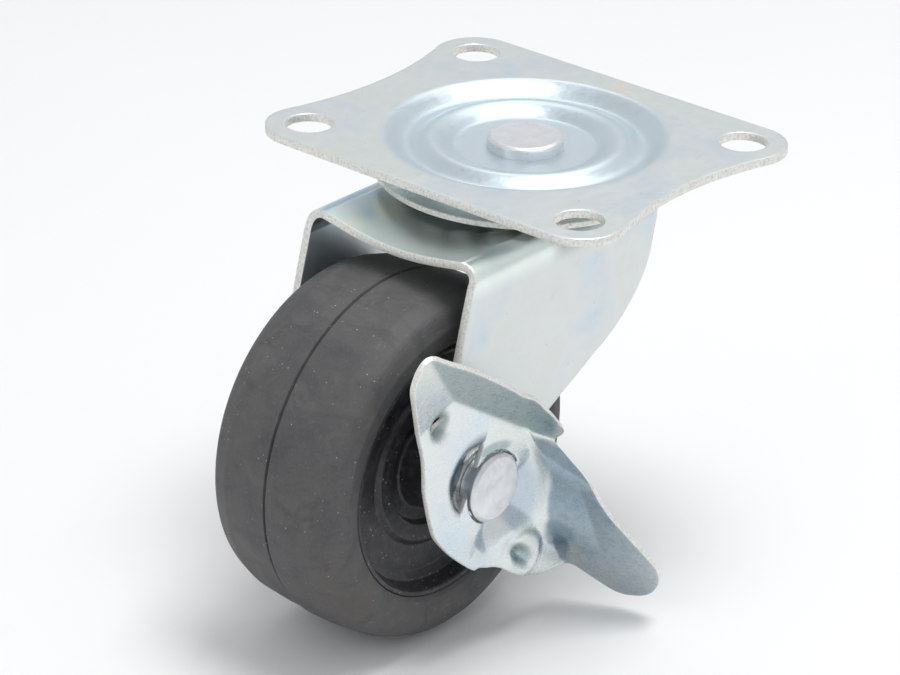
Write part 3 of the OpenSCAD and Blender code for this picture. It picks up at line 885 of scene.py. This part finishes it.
# lanced cuts of the dish: tip and knee of each, then the arc it turns into
CUTS = [((-2.0, 7.1), (-3.5, 3.7), 133.4, 42.0), ((-6.4, -1.6), (-5.2, 0.5), 174.5, 248.0)]
PAD_R, CUT_GAP = 5.06, 0.08
# slot in the upper dent: centre, half length, half width, turn
SLOT = (-11.0, 13.1, 1.4, 0.8, 24.0)


def fold_distance(name, x, z):
    """Plan distance past a fold line, positive on the leaf."""
    (fx, fz), (nx, nz), _, _ = FOLDS[name]
    return (x - fx) * nx + (z - fz) * nz


def fold_along(name, x, z):
    """Plan distance along a fold line from its start."""
    (fx, fz), (nx, nz), _, _ = FOLDS[name]
    return (x - fx) * nz - (z - fz) * nx


def bell(x, z, cx, cz, wide, tall, turn):
    """Soft oval hump of height 1."""
    c, s = cos_sin(turn)
    u = ((x - cx) * c + (z - cz) * s) / wide
    v = (-(x - cx) * s + (z - cz) * c) / tall
    return np.exp(-(u * u + v * v))


def lever_base(x, z):
    """Outer face of the folded leaves, without the small pressed details."""
    h = np.full(np.shape(x), PAN_OUT)
    for name in ("tab", "flange", "wing"):
        tilt, soft = FOLDS[name][2:]
        rise = math.tan(math.radians(tilt)) * fold_distance(name, x, z)
        if name == "wing":
            bow = np.interp(fold_along(name, x, z), *zip(*WING_BOW))
            foot = fold_distance(name, x, z) + bow
            foot = foot * math.tan(math.radians(tilt)) * BOW_END / (BOW_END + bow)
            rise = np.maximum(rise, foot)
            rise = rise * step(-fold_distance("flange", x, z), -0.4, 5.0)
            soft = soft + 0.5 * step(fold_along(name, x, z), 9, 17)
        h = smax(h, PAN_OUT + rise, soft)
    return h


def side_of(x, z, start, end):
    """Signed distance to a line, positive on its left."""
    dx, dz = end[0] - start[0], end[1] - start[1]
    return ((z - start[1]) * dx - (x - start[0]) * dz) / math.hypot(dx, dz)


def lever_detail(x, z):
    """Dish, pads, ridge and dents pressed into the pan."""
    r = np.hypot(x, z)
    angle = np.degrees(np.arctan2(z, x))
    turn = angle % 360
    (tip1, knee1, _, _), (tip2, knee2, _, _) = CUTS
    left = (step(side_of(x, z, knee1, tip1), -0.05, 0.05)
            * step(side_of(x, z, tip2, knee2), -0.05, 0.05) * (x < 0))
    rim = np.interp(turn, *zip(*LEFT_RIM))
    wall = 1 - step(r, 5.4, rim)
    ridge = np.interp(angle, *zip(*RIGHT_RIM))
    right = (step(side_of(x, z, (6.0, 4.9), (3.8, 3.2)), -0.7, 1.3)
             * step(side_of(x, z, (-1.4, -5.2), (-5.0, -8.2)), -0.8, 2.2))
    u = np.clip((r - 4.9) / (ridge - 4.9), 0, 1)
    ramp = 1 - 0.55 * u - 0.45 * step(u, 0, 1)
    close = 1 - step(r, 4.99, 5.12)
    h = -SINK * np.maximum(np.maximum(left * wall, right * ramp), close)
    bead = np.exp(-((r - ridge - 0.15) / 0.36) ** 2)
    h = h + 0.40 * bead * step(angle, -44, -32) * (1 - step(angle, 36, 50))
    h = h - 0.30 * bell(x, z, 0.3, -9.3, 2.4, 1.8, -15)
    h = h + 0.22 * bell(x, z, -4.9, -5.6, 3.0, 2.0, -40)
    lobe = np.hypot(x - 6.6, z + 13.0)
    h = h + 0.42 * (1 - step(lobe, 2.9, 4.1))
    h = h - 0.95 * bell(x, z, 5.9, -12.5, 2.5, 1.0, -41)
    return h - 1.1 * bell(x, z, -10.8, 12.7, 1.45, 1.75, 24)


def warp(x, z):
    """Plan stretched across the folds, so that steep leaves get more points."""
    p = np.stack([x, z], -1).astype(float)
    for name in ("flange", "wing"):
        _, (nx, nz), tilt, _ = FOLDS[name]
        more = 1 / math.cos(math.radians(tilt)) - 1
        d = fold_distance(name, x, z)
        push = more * (d + np.sqrt(d * d + 0.3)) / 2
        p = p + push[..., None] * np.array([nx, nz])
    return p


def unwarp(p):
    """Inverse of warp by Newton steps."""
    q = p.copy()
    e = 1e-4
    for _ in range(40):
        f = warp(q[:, 0], q[:, 1])
        gx = (warp(q[:, 0] + e, q[:, 1]) - f) / e
        gz = (warp(q[:, 0], q[:, 1] + e) - f) / e
        det = gx[:, 0] * gz[:, 1] - gx[:, 1] * gz[:, 0]
        d = f - p
        q[:, 0] -= 0.8 * (d[:, 0] * gz[:, 1] - d[:, 1] * gz[:, 0]) / det
        q[:, 1] -= 0.8 * (gx[:, 0] * d[:, 1] - gx[:, 1] * d[:, 0]) / det
    return q


def slit(tip, knee, start, end):
    """Closed loop of one lanced cut: a straight run, then an arc round the axle."""
    tip, knee = np.array(tip), np.array(knee)
    run = (tip - knee) / np.linalg.norm(tip - knee)
    across = np.array([-run[1], run[0]]) * CUT_GAP
    if start < end:
        across = -across
    n = int(abs(end - start) / 5)
    inner = arc(0, 0, PAD_R - CUT_GAP, start, end, n)
    outer = arc(0, 0, PAD_R + CUT_GAP, end, start, n)
    ts = np.linspace(0.12, 0.9, 9)[:, None]
    near = tip + (knee - tip) * ts
    return np.vstack([tip[None], near + across, inner[1:], outer[:-1], (near - across)[::-1]])


def build_brake_lever():
    outline = np.array(LEVER_OUTLINE)
    loop = warp(outline[:, 0], outline[:, 1])
    closed = np.vstack([loop[-2:], loop, loop[:2]])
    count = 8
    curve = spline(closed, count)[2 * count:-(2 * count) - 1]
    outer = resample(curve, 0.45, True)
    low, high = outer.min(0), outer.max(0)
    slits = [slit(*cut) for cut in CUTS]
    cx, cz, long, wide, turn = SLOT
    c, s = cos_sin(turn)
    oval = circle(0, 0, 1, 20) * [long, wide]
    slits.append(np.array([(cx + u * c - v * s, cz + u * s + v * c) for u, v in oval]))
    holes = [warp(h[:, 0], h[:, 1]) for h in slits]
    grid = lattice(low[0], high[0], 0.40, low[1], high[1], 0.38)
    flat, faces = region(outer, holes, grid, 0.16)
    plan = unwarp(flat)
    x, z = plan[:, 0], plan[:, 1]
    e = 0.05
    dx = (lever_base(x + e, z) - lever_base(x - e, z)) / (2 * e)
    dz = (lever_base(x, z + e) - lever_base(x, z - e)) / (2 * e)
    n = np.column_stack([-dx, -np.ones(len(x)), -dz])
    n /= np.linalg.norm(n, axis=1)[:, None]
    s = lever_base(x, z) + lever_detail(x, z)
    top = np.column_stack([AXLE[0] + x, -s, AXLE[2] + z])
    verts, every, marks = sheet(top, faces, -LEVER_T * n)
    obj = make_piece("pressed_lever", verts, every, marks, [LEVER_ZINC, EDGE],
                     "brake", "brake_lever")
    return soften_edges(obj, 0.10)


# ---- turned parts


def turned(name, corners, closed, steps, place, mats, body, node, mark=None, longest=0.7):
    """Lathe piece; mark(r) picks a material for each ring of faces."""
    path = fillet_path(corners, closed, longest)
    verts, faces, rings = lathe(path, closed, steps, place)
    mids = (path + np.roll(path, -1, 0)) / 2
    marks = [mark(mids[k][0]) if mark else 0 for k in rings]
    return make_piece(name, verts, faces, marks, mats, body, node)


def head_place(r, h, a):
    """Pin head point with a slightly uneven hammered top."""
    x, y = r * math.cos(a), r * math.sin(a)
    lump = noise.noise(Vector((x * 0.45, y * 0.45, 1.7)))
    return x, y, h + (0.045 * lump if h > -0.6 else 0.0)


def build_kingpin():
    foot = -14.04
    corners = [(0, -0.36), (4.0, -0.34, 2.0), (4.72, -0.27, 0.5), (5.25, -0.55, 0.25),
               (5.22, -1.97, 0.05), (4.02, -2.0), (3.98, foot + 1.8), (5.8, foot + 1.8, 0.2),
               (5.8, foot + 1.1, 0.3), (4.6, foot + 0.2, 0.8), (0, foot)]
    return turned("turned_kingpin", corners, False, 96, head_place, [RIVET],
                  "plate", "kingpin", longest=0.5)


def build_dust_cap():
    corners = [(15.75, -2.97, 0.1), (16.9, -2.97, 0.8), (18.4, -3.5, 1.2), (20.5, -4.5, 0.14),
               (20.5, -5.33, 0.14), (18.2, -4.35, 1.2), (16.7, -3.85, 0.6), (15.75, -3.85, 0.1)]

    def mark(r):
        return 1 if r > 20.3 else 0

    return turned("pressed_dust_cap", corners, True, 144, about_z, [CAP_ZINC, EDGE],
                  "plate", "dust_cap", mark, 0.5)


def build_lower_race():
    corners = [(4.05, -11.1, 0.1), (7.2, -11.05, 0.4), (8.8, -11.4, 1.5), (10.3, -10.9, 0.5),
               (10.75, -9.5, 0.15), (11.55, -9.5, 0.15), (11.55, -11.5, 0.5),
               (10.7, -12.2, 0.4), (4.05, -12.2, 0.1)]
    return turned("pressed_lower_race", corners, True, 96, about_z, [RACE_ZINC],
                  "plate", "lower_race", longest=0.5)


def build_balls(name, count, ring_r, d, z, body, node):
    """Ring of separate balls in one piece."""
    verts, faces = [], []
    rows, cols = 14, 24
    path = [(d / 2 * math.sin(math.pi * i / rows), d / 2 * math.cos(math.pi * i / rows))
            for i in range(rows + 1)]
    path[0], path[-1] = (0.0, d / 2), (0.0, -d / 2)
    for k in range(count):
        a = 2 * math.pi * k / count
        cx, cy = ring_r * math.cos(a), ring_r * math.sin(a)

        def place(r, h, t):
            return cx + r * math.cos(t), cy + r * math.sin(t), z + h

        v, f, _ = lathe(path, False, cols, place)
        faces += [tuple(i + len(verts) for i in q) for q in f]
        verts += v
    return make_piece(name, verts, faces, [0] * len(faces), [BALL], body, node)


def rivet_place(r, h, a):
    """Axle rivet point; the formed head is a little uneven."""
    x, z = r * math.cos(a), r * math.sin(a)
    lump = noise.noise(Vector((x * 0.35, z * 0.35, 5.2)))
    out = 0.07 * lump if h > 17.6 else 0.0
    return AXLE[0] + x * (1 + 0.02 * lump), -(h + out), AXLE[2] + z


def build_axle_rivet():
    corners = [(0, 18.74), (3.4, 18.74, 1.0), (4.35, 18.7, 0.2), (4.8, 18.3, 0.3),
               (4.8, 17.72, 0.12), (4.2, 17.7), (4.2, 15.85), (3.0, 15.82), (3.0, -14.85),
               (4.35, -14.85, 0.05), (4.35, -15.7, 0.3), (3.4, -16.5, 0.8), (0, -16.6)]
    return turned("formed_axle_rivet", corners, False, 96, rivet_place, [RIVET],
                  "fork", "axle_rivet", longest=0.5)


# ---- wheel


def tyre_place(r, h, a):
    """Tyre point: halves a little out of line, soft waves in the tread."""
    x, z = r * math.cos(a), r * math.sin(a)
    outer = step(r, 20.5, 24.0)
    far = 1.0 if h < 0 else 0.0
    wave = noise.noise(Vector((x * 0.09, h * 0.12, z * 0.09)))
    r = r + outer * (0.05 * wave - 0.05)
    x, z = r * math.cos(a), r * math.sin(a)
    return AXLE[0] + x, -h, AXLE[2] + z + 0.16 * far * float(outer)


def build_tyre():
    near = [(18.1, 8.9, 0.05), (18.1, 10.35, 0.2), (18.7, 10.72, 0.4), (21.1, 11.27, 0.9),
            (23.6, 10.6, 2.6), (24.65, 7.6, 2.0), (25.0, 3.5, 2.0), (25.0, 0.30, 0.08),
            (24.4, 0.14, 0.05), (24.4, -0.12, 0.05)]
    far = [(24.85, -0.28, 0.08), (24.8, -3.5, 2.0), (24.4, -7.6, 2.0), (23.35, -10.6, 2.6),
           (20.8, -11.27, 0.9), (18.7, -10.72, 0.4), (18.1, -10.35, 0.2), (18.1, -8.9, 0.05)]
    seat = [(17.63, -7.95), (17.63, 7.95)]
    return turned("moulded_tyre", near + far + seat, True, 224, tyre_place, [RUBBER],
                  "wheel", "tyre", longest=0.9)


def build_wheel_core():
    near = [(3.06, 13.05, 0.1), (5.9, 13.1, 0.3), (6.2, 12.7, 0.3), (6.25, 6.95, 0.5),
            (8.2, 6.9, 0.4), (8.75, 8.1, 0.35), (10.9, 8.15, 0.5), (11.7, 7.55, 0.5),
            (15.5, 7.5, 0.5), (16.6, 8.2, 0.5), (17.3, 10.1, 0.3), (17.45, 10.35, 0.1),
            (18.04, 10.4, 0.15), (18.04, 8.92, 0.05)]
    far = [(r, -h, *rest) for r, h, *rest in near[::-1]]
    seat = [(17.56, 7.9), (17.56, -7.9)]
    return turned("moulded_core", near + seat + far, True, 160, about_axle, [CORE],
                  "wheel", "wheel_core", longest=0.8)


build_top_plate()
build_kingpin()
build_dust_cap()
build_lower_race()
build_balls("upper_ball_ring", 16, BALL_R, 4.76, -4.11, "upper_ring", "upper_balls")
build_balls("lower_ball_ring", 14, 8.8, 3.5, -9.27, "lower_ring", "lower_balls")
build_fork()
build_axle_rivet()
build_wheel_core()
build_tyre()
build_brake_lever()

# ---- stage

FLOOR_Z = -62.0
LIGHT_TARGET = (-20, 0, -30)
CAMERA_ANGLES = (-49.92, 25.89, 1.16)
CAMERA_PLACE = (-383.42, -310.04, 208.31)
CAMERA_LENS, CAMERA_SENSOR = 158.62, 36.0


def build_floor():
    size, n = 2600.0, 12
    ticks = np.linspace(-size, size, n + 1)
    verts = [(x * MM, y * MM, FLOOR_Z * MM) for y in ticks for x in ticks]
    row = n + 1
    faces = [(k, k + 1, k + 1 + row, k + row)
             for k in (j * row + i for j in range(n) for i in range(n))]
    mesh = bpy.data.meshes.new("studio_floor")
    mesh.from_pydata(verts, [], faces)
    mesh.materials.append(floor_white("floor_white"))
    add_object("studio_floor", mesh)


def toward(azimuth, elevation):
    """Direction from the part to a viewer, azimuth from -Y, angles in radians."""
    return Vector((math.sin(azimuth) * math.cos(elevation),
                   -math.cos(azimuth) * math.cos(elevation), math.sin(elevation)))


def area_light(name, azimuth, elevation, distance, size, level):
    """Soft box of a given radiance aimed at the part; azimuth as the camera's."""
    back = toward(math.radians(azimuth), math.radians(elevation))
    data = bpy.data.lights.new(name, "AREA")
    data.shape = "RECTANGLE"
    data.size, data.size_y = size[0] * MM, size[1] * MM
    data.energy = level * math.pi * data.size * data.size_y
    obj = add_object(name, data)
    obj.location = (Vector(LIGHT_TARGET) + back * distance) * MM
    obj.rotation_mode = "QUATERNION"
    obj.rotation_quaternion = (-back).to_track_quat("-Z", "Y")


def build_world():
    """Pale surround, brighter overhead."""
    world = bpy.data.worlds.new("studio")
    world.use_nodes = True
    tree = world.node_tree
    coord = tree.nodes.new("ShaderNodeTexCoord")
    split = tree.nodes.new("ShaderNodeSeparateXYZ")
    ramp = tree.nodes.new("ShaderNodeValToRGB")
    stops = [(0.0, 0.66), (0.2, 0.68), (0.44, 0.76), (0.66, 0.66), (1.0, 0.58)]
    fill_ramp(ramp, [(at, (v * 0.97, v * 0.99, v * 1.01)) for at, v in stops])
    tree.links.new(coord.outputs["Generated"], split.inputs[0])
    tree.links.new(split.outputs["Z"], ramp.inputs["Fac"])
    tree.links.new(ramp.outputs["Color"], tree.nodes["Background"].inputs["Color"])
    tree.nodes["Background"].inputs["Strength"].default_value = 1.0
    bpy.context.scene.world = world


def build_camera():
    """Camera at the viewing angle of the reference."""
    azimuth, elevation, roll = map(math.radians, CAMERA_ANGLES)
    back = toward(azimuth, elevation)
    side = Vector((0, 0, 1)).cross(back).normalized()
    up = back.cross(side)
    right = math.cos(roll) * side + math.sin(roll) * up
    over = -math.sin(roll) * side + math.cos(roll) * up
    data = bpy.data.cameras.new("camera")
    data.lens, data.sensor_width = CAMERA_LENS, CAMERA_SENSOR
    data.clip_start, data.clip_end = 0.01, 20.0
    obj = add_object("camera", data)
    turn = Matrix((right, over, back)).transposed()
    obj.matrix_world = Matrix.Translation(Vector(CAMERA_PLACE) * MM) @ turn.to_4x4()
    bpy.context.scene.camera = obj


build_floor()
build_world()
build_camera()
area_light("overhead_key", 30, 78, 620, (300, 240), 10.0)
area_light("left_soft", -100, 35, 700, (260, 300), 1.1)
area_light("back_soft", 118, 52, 700, (420, 200), 1.1)
bpy.context.scene.view_settings.view_transform = "Standard"
